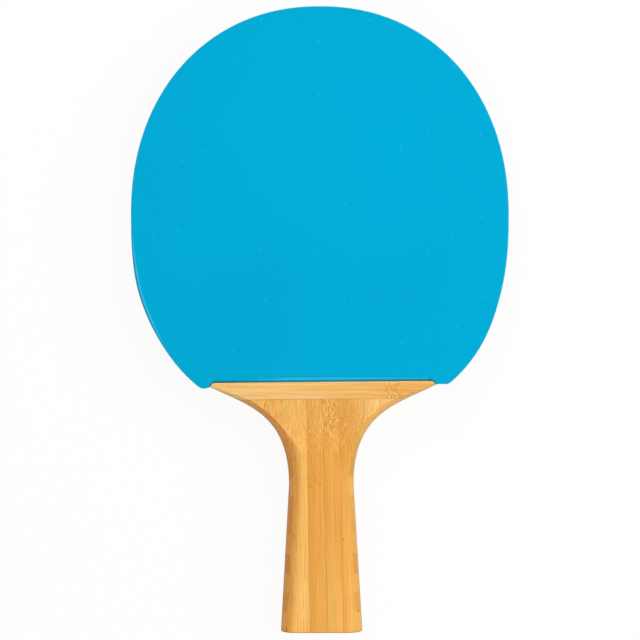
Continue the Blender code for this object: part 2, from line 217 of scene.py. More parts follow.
def layer_rings(y, foot, top, easing, lean=0.0, limit=None):
    """Rings of a layer that goes from side to side: up the right side, then down the left one.

    Each edge is eased by drawing its row in, a layer can lie askew by lean, which its sides follow
    to the outline, and limit can hold the width to less than the wood's.
    """
    y, foot, top, easing = (np.broadcast_to(v, y.shape)[:, None] for v in (y, foot, top, easing))
    share = np.array([0.0, 0.02, 0.12, 0.3, 0.5, 0.7, 0.88, 0.98, 1.0])
    drawn_in = np.array([1.0, 0.3, 0, 0, 0, 0, 0, 0.3, 1.0]) * easing
    z = foot + share * (top - foot)
    right, left = side_x(y, z), side_x(y, z)
    # Each pass brings a leaning layer's sides nearer to the outline
    for _ in range(3):
        right, left = side_x(y + lean * right, z), side_x(y - lean * left, z)
    if limit is not None:
        right, left = limit(right, left, y, z)
    x = np.concatenate([right - drawn_in, (drawn_in - left)[:, ::-1]], 1)
    z = np.concatenate([z, z[:, ::-1]], 1)
    return np.stack([x, y + lean * x, z], -1)


def chamfered(y, foot, top):
    """Stations, one more inside each end, and the foot, top and easing that chamfer the ends."""
    y = np.sort(np.concatenate([y, [y.min() + EDGE_EASE, y.max() - EDGE_EASE]]))
    end = np.zeros_like(y)
    end[[0, -1]] = EDGE_EASE
    return y, foot + end, top - end, EDGE_EASE + end


class Graph:
    """A material's shader nodes: each call adds one node and gives its output."""

    def __init__(self, name):
        self.material = bpy.data.materials.new(name)
        self.material.use_nodes = True
        self.tree = self.material.node_tree
        self.shader = self.tree.nodes["Principled BSDF"]

    def node(self, kind, sockets, output=0, **settings):
        made = self.tree.nodes.new("ShaderNode" + kind)
        for key, value in settings.items():
            setattr(made, key, value)
        for key, value in sockets.items():
            self.put(made, key, value)
        return made.outputs[output]

    def put(self, made, key, value):
        if isinstance(value, bpy.types.NodeSocket):
            self.tree.links.new(value, made.inputs[key])
        else:
            made.inputs[key].default_value = value

    def math(self, operation, a, b=0.0):
        return self.node("Math", {0: a, 1: b}, operation=operation)

    def sum(self, *terms):
        """The sum of (socket, weight) pairs."""
        total = 0.0
        for socket, weight in terms:
            total = self.node("Math", {0: socket, 1: weight, 2: total}, operation="MULTIPLY_ADD")
        return total

    def scaled(self, vector, sizes):
        """A vector divided by a size along each axis, so that a noise has features of that size."""
        factors = tuple(1.0 / size for size in sizes)
        return self.node("VectorMath", {0: vector, 1: factors}, operation="MULTIPLY")

    def noise(self, vector, sizes, detail=2.0, output="Fac"):
        place = self.scaled(vector, sizes)
        sockets = {"Vector": place, "Scale": 1.0, "Detail": detail, "Roughness": 0.55}
        return self.node("TexNoise", sockets, output)

    def cells(self, place, scale=1.0):
        """How far each point is from the middle of its cell, of about one unit over scale."""
        return self.node("TexVoronoi", {"Vector": place, "Scale": scale}, "Distance")

    def shake(self, vector, sizes, detail, reach):
        """A push that wanders about zero: a noise less a half, times a reach along each axis."""
        push = self.noise(vector, sizes, detail, "Color")
        push = self.node("VectorMath", {0: push, 1: (0.5, 0.5, 0.5)}, operation="SUBTRACT")
        return self.node("VectorMath", {0: push, 1: reach}, operation="MULTIPLY")

    def spread(self, value, low, high, to_low=0.0, to_high=1.0):
        """A value between low and high, spread with soft ends between two others."""
        sockets = {"Value": value, "From Min": low, "From Max": high,
                   "To Min": to_low, "To Max": to_high}
        return self.node("MapRange", sockets, interpolation_type="SMOOTHSTEP")

    def mix(self, share, a, b, way="MIX"):
        a, b = (v if isinstance(v, bpy.types.NodeSocket) else (*v, 1.0) for v in (a, b))
        return self.node("Mix", {0: share, 6: a, 7: b}, 2, data_type="RGBA", blend_type=way)

    def attribute(self, name):
        return self.node("Attribute", {}, "Vector", attribute_name=name)

    def finish(self, **sockets):
        for key, value in sockets.items():
            self.put(self.shader, key.replace("_", " "), value)
        return self.material


def bamboo(name, pale, middle, deep):
    """Bamboo: fibre bundles along the grain, seen as lines, flecks or dots as the cut goes.

    The marks on each piece say where its grain lies: grain is a point in the strip's own wood as
    (across, along, through), lie is the way of the grain, strip holds the tone and the place and
    reach of a node, edge holds the glue lines with the painted shade at the butt, the painted
    highlight on the band's top arris and how raw the wood is, cut holds how far a slanting cut has
    opened the fibres, how dark the node is and how lively the fibres are, and pin is the place of
    a pin hole.
    """
    g = Graph(name)
    grain = g.attribute("grain")
    strip = g.node("SeparateXYZ", {0: g.attribute("strip")})
    tone, knot_place, knot_reach = strip, strip.node.outputs[1], strip.node.outputs[2]
    edge = g.node("SeparateXYZ", {0: g.attribute("edge")})
    glue_and_shade, arris_highlight, raw = edge, edge.node.outputs[1], edge.node.outputs[2]
    open_cut = g.node("SeparateXYZ", {0: g.attribute("cut")})
    knot_depth, lively = open_cut.node.outputs[1], open_cut.node.outputs[2]
    pin = g.node("VectorMath", {0: grain, 1: g.attribute("pin")}, "Value", operation="DISTANCE")
    along = g.node("SeparateXYZ", {0: grain}, 1)

    # Fibres wander a little along the strip, and swirl at a node
    from_knot = g.math("ABSOLUTE", g.math("SUBTRACT", along, knot_place))
    knot = g.spread(g.math("DIVIDE", from_knot, knot_reach), 0.15, 1.0, 1.0, 0.0)
    wander = g.shake(grain, (0.006, 0.045, 0.006), 1.0, (0.0004, 0.0, 0.0004))
    swirl = g.shake(grain, (0.0011, 0.0013, 0.0011), 2.0, (0.0016, 0.0, 0.0016))
    swirl = g.node("VectorMath", {0: swirl, "Scale": knot}, operation="SCALE")
    bent = g.node("VectorMath", {0: grain, 1: wander}, operation="ADD")
    bent = g.node("VectorMath", {0: bent, 1: swirl}, operation="ADD")

    # Fibres, streaks and patches: noises drawn out along the grain, each in its own width
    hair = g.noise(bent, (0.00016, 0.014, 0.00030), 1.0)
    streak = g.noise(bent, (0.00028, 0.048, 0.00060), 1.0)
    line = g.spread(g.noise(bent, (0.00022, 0.034, 0.00060), 1.0), 0.60, 0.68)
    band = g.noise(bent, (0.0021, 0.080, 0.0020), 1.0)
    hue = g.spread(g.noise(bent, (0.0013, 0.045, 0.0013), 1.0), 0.30, 0.70)
    honey = g.spread(g.noise(bent, (0.00080, 0.018, 0.0012), 1.0), 0.30, 0.70)
    bundles = g.scaled(bent, (0.00055, 0.036, 0.0010))
    bundle = g.spread(g.cells(bundles), 0.08, 0.30, 1.0, 0.0)
    elsewhere = g.node("VectorMath", {0: bundles, 1: (7.3, 1.7, 3.1)}, operation="ADD")
    pale_line = g.spread(g.cells(elsewhere, 0.8), 0.08, 0.26, 1.0, 0.0)
    short_patch = g.noise(bent, (0.0010, 0.0005, 0.0019), 1.0)
    long_patch = g.noise(bent, (0.00040, 0.0019, 0.0019), 1.0)
    figure = g.node("Mix", {0: open_cut, 2: short_patch, 3: long_patch})
    patch = g.math("MULTIPLY", g.spread(figure, 0.42, 0.60, -0.25, 1.0), knot)
    patch = g.math("MULTIPLY", patch, knot_depth)
    dark_mark = g.math("MULTIPLY", g.spread(knot_depth, 1.0, 2.5, 0.0, 0.9), knot)
    dark_mark = g.math("MULTIPLY", g.spread(figure, 0.54, 0.64), dark_mark)
    pores = g.noise(bent, (0.00034, 0.020, 0.00085), 1.0)
    cluster = g.spread(g.noise(grain, (0.0045, 0.007, 0.02), 1.0), 0.40, 0.62, 0.4, 1.6)
    cluster = g.math("MULTIPLY", open_cut, cluster)
    pores = g.math("MULTIPLY", g.spread(pores, 0.40, 0.60, -0.5, 0.5), cluster)

    # How pale the wood is, from the deep colour over the middle one to the pale one
    fibre = g.math("SUBTRACT", g.sum((hair, 0.60), (streak, 0.75)), 0.675)
    level = g.sum((g.math("MULTIPLY", fibre, lively), 1.0), (band, 0.20), (patch, -0.45),
                  (pores, 0.40), (pale_line, 0.16), (tone, 1.0))
    level = g.math("ADD", level, 0.385)
    colour = g.node("ValToRGB", {0: level})
    ramp = colour.node.color_ramp
    ramp.elements[0].color = (*deep, 1.0)
    ramp.elements[0].position = 0.15
    ramp.elements[1].color = (*pale, 1.0)
    ramp.elements[1].position = 0.85
    ramp.elements.new(0.5).color = (*middle, 1.0)

    # Dark flecks and lines, tints of the wood, sawn ends, painted shade and light on the two sides,
    # glue lines and painted shade at the butt, a painted highlight on the band's arris, a pin hole
    normal = g.node("TexCoord", {}, "Normal")
    facing = g.node("VectorMath", {0: normal, 1: g.attribute("lie")}, "Value",
                    operation="DOT_PRODUCT")
    facing = g.math("ABSOLUTE", facing)
    fleck = g.spread(g.noise(grain, (0.004, 0.030, 0.004), 1.0), 0.40, 0.62, 0.06, 0.30)
    fleck = g.math("MULTIPLY", bundle, g.sum((fleck, 1.0), (open_cut, 0.20)))
    fleck = g.math("MAXIMUM", fleck, g.math("MULTIPLY", line, g.math("MULTIPLY", lively, 0.42)))
    fleck = g.math("MAXIMUM", fleck, dark_mark)
    colour = g.mix(fleck, colour, (0.62, 0.225, 0.016))
    colour = g.mix(1.0, colour, g.mix(hue, (1.015, 0.985, 0.965), (0.985, 1.015, 1.02)), "MULTIPLY")
    honey = g.mix(honey, (1.0, 0.98, 0.74), (1.0, 1.02, 1.24))
    colour = g.mix(g.math("MULTIPLY", lively, 0.36), colour, honey, "MULTIPLY")
    end_grain = g.spread(facing, 0.30, 0.90)
    colour = g.mix(end_grain, colour, (0.96, 0.91, 0.85), "MULTIPLY")
    # Painted shade on left-facing surfaces and painted light on right-facing ones, set by the
    # surface's direction
    sideways = g.node("SeparateXYZ", {0: normal})
    left = g.spread(sideways, -0.9, -0.2, 1.0, 0.0)
    colour = g.mix(left, colour, (0.965, 0.91, 0.90), "MULTIPLY")
    right = g.spread(sideways, 0.3, 0.9)
    colour = g.mix(right, colour, (0.965, 1.05, 1.0), "MULTIPLY")
    # More painted shade, warmer, on the left-facing long-grain sides
    left_side_shade = g.spread(sideways, -0.85, -0.25, 1.0, 0.0)
    left_side_shade = g.math("MULTIPLY", left_side_shade, g.math("SUBTRACT", 1.0, end_grain))
    colour = g.mix(left_side_shade, colour, (0.97, 0.80, 0.54), "MULTIPLY")
    colour = g.mix(raw, colour, (1.0, 1.17, 1.78), "MULTIPLY")
    # Glue lines, and painted shade along the butt's rounded end
    colour = g.mix(g.math("MULTIPLY", glue_and_shade, 0.55), colour, (0.46, 0.18, 0.04))
    # A painted highlight along the band's top arris
    colour = g.mix(g.math("MULTIPLY", arris_highlight, 0.75), colour, (0.90, 0.70, 0.44))
    colour = g.mix(g.spread(pin, 0.00020, 0.00050, 0.95, 0.0), colour, (0.12, 0.045, 0.01))

    # The wood's sheen and relief
    roughness = g.sum((streak, -0.16), (end_grain, 0.14), (fleck, 0.10))
    relief = g.sum((hair, 0.4), (streak, 0.8), (bundle, -0.5), (patch, -0.6))
    bump = g.node("Bump", {"Strength": 0.6, "Distance": 0.00003, "Height": relief})
    return g.finish(Base_Color=colour, Roughness=g.math("ADD", roughness, 0.50), Normal=bump,
                    Specular_IOR_Level=0.24)


# A node's place along its strip, its reach and its depth, and a pin's place, both off the racket
NO_KNOT = (9.0, 0.003, 1.0)
NO_PIN = (9.0, 9.0, 9.0)


def wood_marks(points, along, shift, tone, knot=NO_KNOT, glue_and_shade=0.0, arris_highlight=0.0, raw=0.0, opened=0.0,
               lively=1.0, pin=NO_PIN):
    """The marks that bamboo reads: the piece's own wood starts at shift, so no two pieces match."""
    order = [1, 0, 2] if along == "x" else [0, 1, 2]
    lie = (1.0, 0.0, 0.0) if along == "x" else (0.0, 1.0, 0.0)
    grain = points[..., order] + np.asarray(shift)
    zeros = np.zeros(points.shape[:-1])
    strip = np.stack([zeros + tone, zeros + knot[0] + shift[1], zeros + knot[1]], -1)
    edge = np.stack([zeros + glue_and_shade, zeros + arris_highlight, zeros + raw], -1)
    cut = np.stack([zeros + opened, zeros + knot[2], zeros + lively], -1)
    return {"grain": grain, "lie": lie, "strip": strip, "edge": edge, "cut": cut,
            "pin": np.asarray(pin) + np.asarray(shift)}


chance = np.random.default_rng(11)
ply_bamboo = bamboo("bamboo_ply", (0.80, 0.46, 0.15), (0.69, 0.36, 0.105), (0.55, 0.26, 0.065))

grip_stations = spaced(BUTT_Y + BUTT_ROUND_LENGTH, NECK_Y, GRIP_STEP)[1:-1]
flare_stations = spaced(NECK_Y, SHOULDER_Y, FLARE_STEP)[:-1]
blade_y = np.concatenate([butt_stations(), grip_stations, flare_stations, head_stations()])
ply_edges = (-BLADE_FACE, *PLY_JOINTS, BLADE_FACE)
ply_names = ("blade_back_ply", "blade_core_ply", "blade_front_ply")
for ply, lower, upper in zip(ply_names, ply_edges, ply_edges[1:]):
    y, foot, top, easing = chamfered(blade_y, lower + GLUE_GAP / 2, upper - GLUE_GAP / 2)
    rings = layer_rings(y, foot, top, easing)
    # The outline closes on the middle line at the top of the head
    rings[-1, :, 0] = 0.0
    at_joint = np.isclose(rings[..., 2, None], PLY_JOINTS, atol=PLY_GLUE_REACH).any(-1)
    marks = wood_marks(
        rings,
        along="x" if ply == "blade_core_ply" else "y",
        shift=chance.uniform(0.0, WOOD_SPAN, 3),
        tone=CORE_TONE if ply == "blade_core_ply" else OUTER_TONE,
        glue_and_shade=PLY_GLUE * at_joint,
    )
    faces = ring_faces(*rings.shape[:2])
    finished(f"{ply}_bamboo", placed(rings, "front"), faces, marks, ply_bamboo, [ply])


# The cross strips: on each face of the blade, thirteen bamboo strips glued edge to edge
# with their grain across the handle. Their sawn ends make the checks along the sides. The
# top one stays bare as the band under the rubber, with rounded ends and a painted highlight
# along its top edge.

CROSS_FOOT = BLADE_FACE + GLUE_GAP
BAND_FACE = 0.0074
CROSS_STRIP_WIDTH = 0.00775
CROSS_STRIPS = 13
STRIP_STEP = 0.0004
BAND_STEP = 0.00025
CROSS_LEAN = math.tan(math.radians(0.4))
BAND_CORNER = 0.0020
BAND_TOP_ROUND = 0.00045
BAND_ROUND_POINTS = 9
BAND_ARRIS = 0.00030
BAND_HIGHLIGHT_REACH = 0.0010
BAND_FACE_DEPTH = 0.0009
BAND_KNOT = (0.0287, 0.0042, 2.8)
SEAM_SHINE = 0.0018
CROSS_BUTT_SHADE = 0.0008
EAR_SHIFT = 0.0007
EAR_WIDTH = 0.0068
SHEET_OVERHANG = 0.0006
SHEET_CLEARANCE = 0.0003
SHEET_FOOT_Y = BAND_TOP_Y + SHEET_CLEARANCE

notch_reach = float(head_half_width(np.array(SHEET_FOOT_Y), SHEET_OVERHANG)) - EAR_WIDTH
band_reach = notch_reach - SHEET_CLEARANCE
corner_centre = band_reach - BAND_CORNER


def rounded_in(distance, radius):
    """How far a quarter circle of this radius has drawn in at a distance before its end."""
    depth = np.clip(1 - distance / radius, 0.0, 1.0)
    return radius * (1 - np.sqrt(1 - depth**2))


def band_limit(right, left, y, z):
    """The band's right and left half widths: the wood's side or the round corner, arris rounded."""
    reach = band_reach - rounded_in(BAND_TOP_Y - y, BAND_CORNER)
    arris = rounded_in(BAND_FACE - z, BAND_ARRIS)
    return np.minimum(right, reach + EAR_SHIFT) - arris, np.minimum(left, reach - EAR_SHIFT) - arris


strip_bamboo = {
    "bamboo_light": bamboo("bamboo_light", (0.990, 0.540, 0.143), (0.895, 0.442, 0.091),
                           (0.79, 0.335, 0.050)),
    "bamboo_dark": bamboo("bamboo_dark", (0.945, 0.505, 0.127), (0.875, 0.420, 0.081),
                          (0.76, 0.315, 0.044)),
}
# How much paler or darker each strip is at its left and right, from the band down to the butt
left_tones = (0.23, 0.0, 0.05, -0.03, -0.25, 0.22, -0.26, -0.25, -0.08, -0.42, 0.02, -0.16, 0.14)
right_tones = (-0.11, 0.32, 0.10, -0.06, -0.36, 0.25, -0.12, -0.08, -0.04, -0.24, 0.02, -0.16, 0.12)

for face in ("front", "back"):
    for number in range(1, CROSS_STRIPS + 1):
        node = f"{face}_cross_strip_{number:02d}"
        upper = SEAM_Y - (number - 2) * CROSS_STRIP_WIDTH - GLUE_GAP / 2
        lower = upper - CROSS_STRIP_WIDTH + GLUE_GAP
        slot = "bamboo_dark" if number % 2 == 0 else "bamboo_light"
        shift = chance.uniform(0.0, WOOD_SPAN, 3)
        if number == 1:
            # The band: its top edge is rounded and carries a painted highlight, and its face is fresh
            # cut
            turn = np.linspace(0.0, math.pi / 2, BAND_ROUND_POINTS)
            rounded = BAND_TOP_Y - BAND_TOP_ROUND * (1 - np.cos(turn))
            y = spaced(SEAM_Y + GLUE_GAP, rounded.min(), BAND_STEP)
            y = np.append(y[:-1], np.sort(rounded))
            top = BAND_FACE - rounded_in(BAND_TOP_Y - y, BAND_TOP_ROUND)
            rings = layer_rings(y, CROSS_FOOT, top, EDGE_EASE, CROSS_LEAN, band_limit)
            # A painted highlight along the band's top arris, stronger on the left
            arris_highlight = np.clip(1 - (BAND_TOP_Y - y) / BAND_HIGHLIGHT_REACH, 0.0, 1.0)[:, None]
            arris_highlight = arris_highlight * (rings[..., 2] > BAND_FACE - BAND_FACE_DEPTH)
            arris_highlight = arris_highlight * np.interp(rings[..., 0], (-0.030, 0.030), (0.8, 0.35))
            raw = np.interp(rings[..., 0], (-0.020, 0.020), (1.0, 0.70))
            opened = np.interp(rings[..., 0], (-0.020, 0.010), (0.0, 0.4))
            lively = np.interp(rings[..., 0], (0.0, 0.020), (1.0, 1.8))
            glue_and_shade = 0.0
            seam_tone = np.interp(rings[..., 1], (SEAM_Y, SEAM_Y + SEAM_SHINE), (0.22, 0.0))
        else:
            if number == CROSS_STRIPS:
                y = spaced(BUTT_Y + BUTT_ROUND_LENGTH, upper, STRIP_STEP)
                y = np.append(butt_stations(), y[1:])
            else:
                y = spaced(lower, upper, STRIP_STEP)
            y, foot, top, easing = chamfered(y, CROSS_FOOT, BAND_FACE)
            rings = layer_rings(y, foot, top, easing, CROSS_LEAN * (number < CROSS_STRIPS))
            arris_highlight = raw = opened = 0.0
            lively = 1.0
            # Painted shade along the butt's rounded end, darker at its corners
            glue_and_shade = np.interp(rings[..., 0], (-0.012, -0.010, 0.010, 0.012), (1.0, 0.0, 0.0, 0.7))
            glue_and_shade = glue_and_shade * (rings[..., 1] < BUTT_Y + CROSS_BUTT_SHADE)
            seam_tone = 0.0
        ends = (left_tones[number - 1], right_tones[number - 1])
        tone = np.interp(rings[..., 0], (-0.010, 0.025) if number == 1 else (-0.010, 0.010), ends)
        tone = tone + seam_tone
        knot = BAND_KNOT if number == 1 else NO_KNOT
        marks = wood_marks(rings, "x", shift, tone, knot, glue_and_shade, arris_highlight, raw, opened, lively)
        finished(f"{node}_bamboo", placed(rings, face), ring_faces(*rings.shape[:2]), marks,
                 strip_bamboo[slot], [node])


# The face strips: eight bamboo strips with their grain along the handle, glued over the
# cross strips, a little out of line with the racket. The grip's rounded sides are worked
# through them, and the ramp that runs down to the band, which leaves an arris on the flare.

FACE_FOOT = BAND_FACE + GLUE_GAP
HANDLE_FACE = MIDDLE_Z
RAMP_END = 0.00756
RAMP_LENGTH = 0.0220
RAMP_HOLLOW = 1.4
BUTT_ROUND_THICKNESS = 0.0006
ARRIS_ROUND = 0.00028
ARRIS_ROW = 0.0002
FACE_STRIP_TURN = math.radians(1.1)
FIRST_INNER_TURN = math.radians(0.8)
SEARCH_POINTS = 20001
SEAM_LEAN_FADE = 0.010
WING_LINES = (0.016586, 0.023014, 0.033443)
INNER_LINES = (-0.00587, 0.00053, 0.00693)
GROOVE_WIDTH = 0.00007
GROOVE_DEPTH = 0.00005
SEAM_GLUE = 0.0002
FACE_BUTT_SHADE = 0.00045
ARRIS_FADE = 0.0006
RAMP_DIP = 0.13
LOWER_TO_UPPER = (-0.110, -0.085)
GRIP_TO_RAMP = (-0.060, -0.045)
RAMP_TO_BAND = (-0.055, -0.036)


def half_thickness(y):
    """Half the wood's thickness: full on the grip, less the butt's round, then a hollow ramp."""
    share = np.clip((SEAM_Y - y) / RAMP_LENGTH, 0.0, 1.0) ** RAMP_HOLLOW
    ease = share * share * (3 - 2 * share)
    return RAMP_END + ease * (HANDLE_FACE - RAMP_END) - BUTT_ROUND_THICKNESS * butt_fall(y)


def side_z(y, x):
    """The height of the rounded side at x: the side ellipse solved for z."""
    reach = np.maximum(side_reach(y), 1e-9)
    inwards = np.clip((half_width(y) - np.abs(x)) / reach, 0.0, 1.0)
    return SIDE_HEIGHT * np.sqrt(1 - (1 - inwards) ** 2)


def arris(y):
    """Where the arris between face and side starts, has its corner and ends, and its fall."""
    top = half_thickness(y)
    fall = ARRIS_ROUND * np.clip((SIDE_HEIGHT - top) / ARRIS_FADE, 0.0, 1.0)
    return side_x(y, top - fall), side_x(y, top), side_x(y, top) - fall, fall


def face_z(y, x):
    """The height of the handle's face: flat, a quadratic curve over the arris, then the side."""
    outer, corner, inner, fall = arris(y)
    reach = np.abs(x)
    a, b, c = outer - 2 * corner + inner, 2 * (corner - outer), outer - reach
    root = np.sqrt(np.maximum(b * b - 4 * a * c, 0.0))
    t = np.clip(2 * c / np.maximum(root - b, 1e-12), 0.0, 1.0)
    top = half_thickness(y)
    over_arris = np.where(reach > inner, top - fall * (1 - t) ** 2, top)
    return np.where(reach >= outer, side_z(y, x), over_arris)


def strip_line(y, line):
    """The x at y of a glue line that has this x at the seam, leaning with the strips."""
    turn = FIRST_INNER_TURN if line == INNER_LINES[0] else FACE_STRIP_TURN
    return line / math.cos(FACE_STRIP_TURN) + (SEAM_Y - y) * math.tan(turn)


def face_strip_rings(y, left, right, drawn_in):
    """Rings of a face strip: the profile of the face, cut off at the strip's two glue lines."""
    y = y[:, None]
    foot_x = side_x(y, np.array(FACE_FOOT))
    outer, corner, inner, fall = arris(y)
    levels = np.array([0.0, 0.1, 0.22, 0.36, 0.5, 0.64, 0.76, 0.86, 0.93, 0.97, 0.99])
    side = side_x(y, FACE_FOOT + levels * (half_thickness(y) - fall - FACE_FOOT))
    t = np.array([0.0, 0.2, 0.4, 0.6, 0.8, 1.0])
    over = (1 - t) ** 2 * outer + 2 * t * (1 - t) * corner + t**2 * inner
    half = np.concatenate([side, over, inner - ARRIS_ROW + 0 * y], 1)
    left = np.maximum(strip_line(y, left) + GLUE_GAP / 2 + drawn_in[:, None], -foot_x)
    right = np.minimum(strip_line(y, right) - GLUE_GAP / 2 - drawn_in[:, None], foot_x)
    right = np.maximum(right, left)
    near = np.array([0.0, 0.35, 1.0]) * GROOVE_WIDTH
    x = np.concatenate([half, -half[:, ::-1], right - near, left + near, (left + right) / 2], 1)
    x = -np.sort(-np.clip(x, left, right), axis=1)
    groove = np.zeros_like(x)
    for line, inside in ((right, right < foot_x), (left, left > -foot_x)):
        depth = np.clip(1 - np.abs(x - line) / GROOVE_WIDTH, 0.0, 1.0) ** 2
        groove = np.maximum(groove, depth * inside)
    y = y + x * CROSS_LEAN * np.clip(1 - (SEAM_Y - y) / SEAM_LEAN_FADE, 0.0, 1.0)
    x = x * side_x(y, np.array(FACE_FOOT)) / foot_x
    z = np.maximum(face_z(y, x) - GROOVE_DEPTH * groove - drawn_in[:, None], FACE_FOOT)
    x = np.concatenate([x[:, :1], x, x[:, -1:]], 1)
    y = np.concatenate([y[:, :1], y, y[:, -1:]], 1)
    z = np.concatenate([FACE_FOOT + 0 * z[:, :1], z, FACE_FOOT + 0 * z[:, :1]], 1)
    groove = np.concatenate([groove[:, :1], groove, groove[:, -1:]], 1)
    return np.stack([x, y, z], -1), groove


def strip_lowest(left, right):
    """The lowest place that a strip reaches: the butt, or where it runs out at the side."""
    y = np.linspace(SEAM_Y, BUTT_Y, SEARCH_POINTS)
    foot_x = side_x(y, np.array(FACE_FOOT))
    inner = strip_line(y, left) if left > 0 else -strip_line(y, right)
    gone = foot_x < inner + GLUE_GAP
    return y[np.argmax(gone)] if gone.any() and (left > 0 or right < 0) else BUTT_Y


lines = [-line for line in reversed(WING_LINES)] + list(INNER_LINES) + list(WING_LINES)
# How pale and how lively each strip is on the upper and the lower grip, from left to right
upper_tones = (0.02, -0.02, 0.27, -0.15, -0.15, -0.16, 0.06, 0.05)
lower_tones = (0.02, -0.02, 0.38, -0.06, 0.08, -0.07, 0.06, 0.05)
upper_lively = (1.0, 1.0, 1.6, 1.0, 0.9, 1.0, 1.0, 1.0)
lower_lively = (1.0, 1.0, 2.2, 0.6, 0.8, 0.9, 1.0, 1.0)
strip_knots = (
    NO_KNOT,
    (-0.0405, 0.004, 0.8),
    (-0.1176, 0.003, -1.3),
    (-0.0645, 0.0035, 1.1),
    (-0.0385, 0.011, 2.4),
    (-0.0420, 0.008, 0.7),
    (-0.0400, 0.004, 0.8),
    NO_KNOT,
)
PIN_STRIP = 6
PIN_HOLE = (0.0089, -0.0879, HANDLE_FACE)
for face in ("front", "back"):
    for number, (left, right) in enumerate(zip(lines, lines[1:]), 1):
        node = f"{face}_face_strip_{number}"
        lowest = strip_lowest(left, right)
        # Close stations on the flare, wide ones on the grip, and one more inside each sawn end
        y = spaced(max(lowest, NECK_Y), SEAM_Y - GLUE_GAP, STRIP_STEP)
        y = np.append(y, y[-1] - EDGE_EASE)
        if lowest == BUTT_Y:
            y = np.concatenate([butt_stations(), [BUTT_Y + EDGE_EASE], grip_stations, y])
        y = np.sort(y)
        drawn_in = np.zeros_like(y)
        drawn_in[-1] = EDGE_EASE
        drawn_in[0] = EDGE_EASE if lowest == BUTT_Y else 0.0
        rings, groove = face_strip_rings(y, left, right, drawn_in)
        slot = "bamboo_dark" if number % 2 == 0 else "bamboo_light"
        shift = chance.uniform(0.0, WOOD_SPAN, 3)
        x, y = rings[..., 0], y[:, None] + 0 * rings[..., 1]
        tone = np.interp(y, LOWER_TO_UPPER, (lower_tones[number - 1], upper_tones[number - 1]))
        lively = np.interp(y, LOWER_TO_UPPER, (lower_lively[number - 1], upper_lively[number - 1]))
        knot = strip_knots[number - 1]
        pin = NO_PIN
        if (face, number) == ("front", PIN_STRIP):
            pin = np.add(PIN_HOLE, (PIN_HOLE[1] * math.sin(FACE_STRIP_TURN), 0.0, 0.0))
        if face == "back":
            tone = chance.uniform(-0.12, 0.12)
            knot = (chance.uniform(-0.12, -0.04), 0.003, 0.8)
        on_ramp = np.interp(y, GRIP_TO_RAMP, (0.0, 1.0))
        # Glue shows at the seam and in the grooves between strips, and painted shade along the butt's
        # rounded end
        seam = np.interp(x, (-0.016, -0.009, 0.015, 0.030), (1.0, 0.3, 0.5, 0.25))
        from_seam = x - (SEAM_Y - y) * math.tan(FACE_STRIP_TURN)
        tight = np.interp(from_seam, (-0.0040, -0.0010, 0.0085, 0.0100), (1.0, 0.25, 0.25, 1.0))
        glue_and_shade = np.maximum(groove * tight * (1 - 0.9 * on_ramp), seam * (y > SEAM_Y - SEAM_GLUE))
        # Painted shade along the butt's rounded end
        butt_shade = np.interp(x, (-0.013, -0.010, 0.008, 0.012), (1.0, 0.7, 0.7, 1.0))
        glue_and_shade = np.maximum(glue_and_shade, butt_shade * (y < BUTT_Y + FACE_BUTT_SHADE))
        # Paler and darker stretches of wood across the ramp, and painted light on the grip's two
        # rounded sides
        ramp_tone = np.interp(x, (-0.014, -0.008, -0.002, 0.004, 0.010, 0.015, 0.019, 0.024),
                              (-0.06, -0.14, -0.20, -0.20, -0.42, -0.14, 0.03, 0.18))
        # Painted light on the rounded sides of the grip
        right_painted_light = np.interp(x, (0.0095, 0.0115), (0.0, 1.0))
        left_painted_light = np.interp(x, (-0.0135, -0.0120, -0.0095, -0.0075), (0.0, 1.0, 1.0, 0.0))
        left_painted_light *= np.interp(y, (-0.095, -0.070), (0.14, 0.06))
        tone = (tone + 0.10 * right_painted_light + left_painted_light) * (1 - 0.9 * on_ramp) + ramp_tone * on_ramp
        # The cut of the ramp left the wood fresh and its fibres open, and the right side gets a
        # little of the same paler tint as painted light
        raw = np.interp(x, (-0.018, -0.008, 0.004, 0.010, 0.018), (0.46, 0.60, 0.50, 0.74, 0.90))
        raw = np.maximum(raw * np.interp(y, RAMP_TO_BAND, (0.0, 1.0)), 0.05 * right_painted_light)
        opened = on_ramp * np.interp(np.abs(x - 0.0040), (0.004, 0.0065), (1.7, 0.55))
        lively = lively + (1.0 - lively) * on_ramp
        marks = wood_marks(rings, "y", shift, tone, knot, glue_and_shade, 0.0, raw, opened, lively, pin)
        marks["grain"][..., 0] += rings[..., 1] * math.sin(FACE_STRIP_TURN)
        marks["grain"][..., 2] -= RAMP_DIP * np.maximum(y - SEAM_Y + RAMP_LENGTH, 0.0)
        finished(f"{node}_bamboo", placed(rings, face), ring_faces(*rings.shape[:2]), marks,
                 strip_bamboo[slot], [node])


# The rubber coverings: on each face a fine-celled sponge, and on it a smooth topsheet with
# its pimples turned in. Both are stuck down and trimmed round the blade with a knife, with
# two ears that run past the ends of the band.

